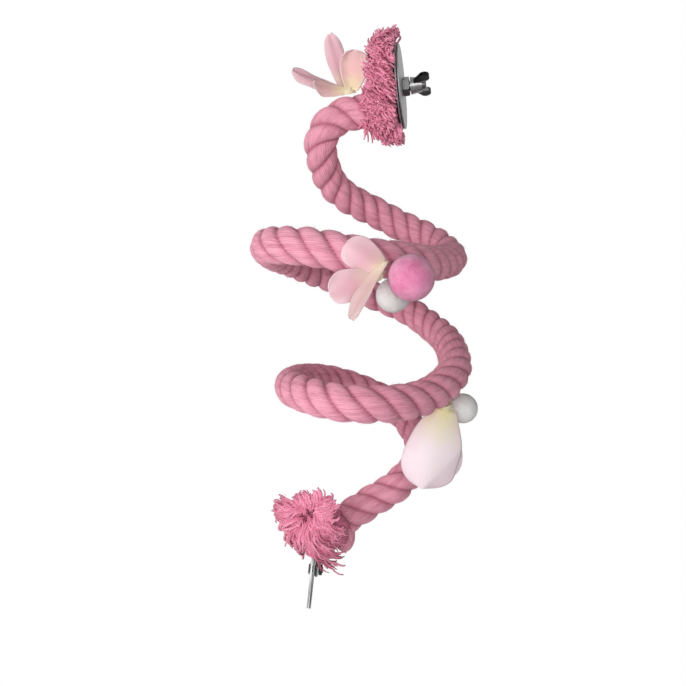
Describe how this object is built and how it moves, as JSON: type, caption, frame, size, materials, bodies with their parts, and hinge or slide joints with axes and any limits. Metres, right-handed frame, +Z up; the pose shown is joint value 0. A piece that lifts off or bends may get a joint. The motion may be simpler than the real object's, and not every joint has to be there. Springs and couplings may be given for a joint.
{
  "type": "parrot climbing rope",
  "caption": "Spiral pink cotton rope perch on a wire core, with a washer clamp at each end, frayed rope ends, fabric flowers and yarn pompoms.",
  "frame": {"origin": "middle of the upper clamp, on the outer face of its inner washer, where the cage wire is held", "axes": "+Z up along the hanging spiral, +X to the side that the upper clamp's bolt points to, -Y to the front that shows the flowers"},
  "size_m": [0.1398, 0.173, 0.3741],
  "materials": {
    "cotton_rope": "matt laid cotton",
    "core_wire": "plain drawn wire",
    "bolt_steel": "zinc plated",
    "washer_zinc": "dull zinc plated",
    "washer_dark": "dull zinc plated",
    "nut_chrome": "bright plated",
    "nut_dark": "dark plated",
    "frayed_yarn": "loose cotton yarn",
    "glue": "set hot glue",
    "petal_mauve": "stiffened woven fabric",
    "petal_peach": "stiffened woven fabric",
    "petal_white": "stiffened woven fabric",
    "pompom_pink": "cut yarn",
    "pompom_white": "cut yarn"
  },
  "bodies": {
    "upper_end": {"rope_turn_1": "cotton_rope", "core_wire_1": "core_wire", "upper_bolt": "bolt_steel", "upper_inner_washer": "washer_zinc", "upper_frayed_end": "frayed_yarn", "upper_flower_dome": "glue", "upper_petal_1": "petal_mauve", "upper_petal_2": "petal_mauve", "upper_petal_3": "petal_peach", "upper_petal_4": "petal_peach"},
    "first_turn": {"rope_turn_2": "cotton_rope", "core_wire_2": "core_wire", "middle_flower_dome": "glue", "middle_petal_1": "petal_mauve", "middle_petal_2": "petal_mauve", "middle_petal_3": "petal_peach", "pink_pompom": "pompom_pink", "middle_white_pompom": "pompom_white"},
    "back_turn": {"rope_turn_3": "cotton_rope", "core_wire_3": "core_wire"},
    "second_turn": {"rope_turn_4": "cotton_rope", "core_wire_4": "core_wire", "lower_flower_dome": "glue", "lower_petal_1": "petal_white", "lower_petal_2": "petal_white", "lower_petal_3": "petal_white", "lower_white_pompom": "pompom_white"},
    "lower_end": {"rope_turn_5": "cotton_rope", "core_wire_5": "core_wire", "lower_inner_washer": "washer_dark", "lower_nut": "nut_dark", "lower_frayed_end": "frayed_yarn", "lower_strand_end": "cotton_rope"},
    "upper_clamp": {"upper_outer_washer": "washer_zinc"},
    "upper_hex_nut": {"upper_hex_nut": "nut_chrome"},
    "upper_wing_nut": {"upper_wing_nut": "nut_chrome"},
    "lower_clamp": {"lower_outer_washer": "washer_zinc"},
    "lower_screw": {"lower_screw": "bolt_steel"}
  },
  "joints": [
    {"name": "flex_1", "type": "hinge", "parent": "upper_end", "child": "first_turn", "pos_m": [0.032, -0.002, -0.107], "axis": [-0.3777, -0.9213, -0.0921], "range_deg": [-6, 6]},
    {"name": "flex_2", "type": "hinge", "parent": "first_turn", "child": "back_turn", "pos_m": [-0.08, -0.032, -0.099], "axis": [-0.0618, 0.9891, -0.1339], "range_deg": [-6, 6]},
    {"name": "flex_3", "type": "hinge", "parent": "back_turn", "child": "second_turn", "pos_m": [0.037, -0.005, -0.172], "axis": [-0.0969, -0.9518, -0.2908], "range_deg": [-6, 6]},
    {"name": "flex_4", "type": "hinge", "parent": "second_turn", "child": "lower_end", "pos_m": [-0.066, -0.033, -0.184], "axis": [-0.2399, 0.9695, -0.05], "range_deg": [-6, 6]},
    {"name": "upper_clamp_slide", "type": "slide", "parent": "upper_end", "child": "upper_clamp", "axis": [0.9811, -0.173, 0.0872], "range_m": [0, 0.006]},
    {"name": "upper_hex_nut_turn", "type": "hinge", "parent": "upper_clamp", "child": "upper_hex_nut", "pos_m": [0, 0, 0], "axis": [0.9811, -0.173, 0.0872], "range_deg": [0, 2161]},
    {"name": "upper_wing_nut_turn", "type": "hinge", "parent": "upper_clamp", "child": "upper_wing_nut", "pos_m": [0, 0, 0], "axis": [0.9811, -0.173, 0.0872], "range_deg": [0, 2161]},
    {"name": "lower_clamp_slide", "type": "slide", "parent": "lower_end", "child": "lower_clamp", "axis": [-0.9945, 0, 0.1045], "range_m": [0, 0.003]},
    {"name": "lower_screw_turn", "type": "hinge", "parent": "lower_clamp", "child": "lower_screw", "pos_m": [-0.056, -0.007, -0.314], "axis": [-0.9945, 0, 0.1045], "range_deg": [0, 1544]}
  ],
  "couplings": [
    {"joint": "upper_hex_nut_turn", "follows": "upper_clamp_slide", "rad_per_m": 6283.2},
    {"joint": "upper_wing_nut_turn", "follows": "upper_clamp_slide", "rad_per_m": 6283.2},
    {"joint": "lower_screw_turn", "follows": "lower_clamp_slide", "rad_per_m": 8976}
  ]
}
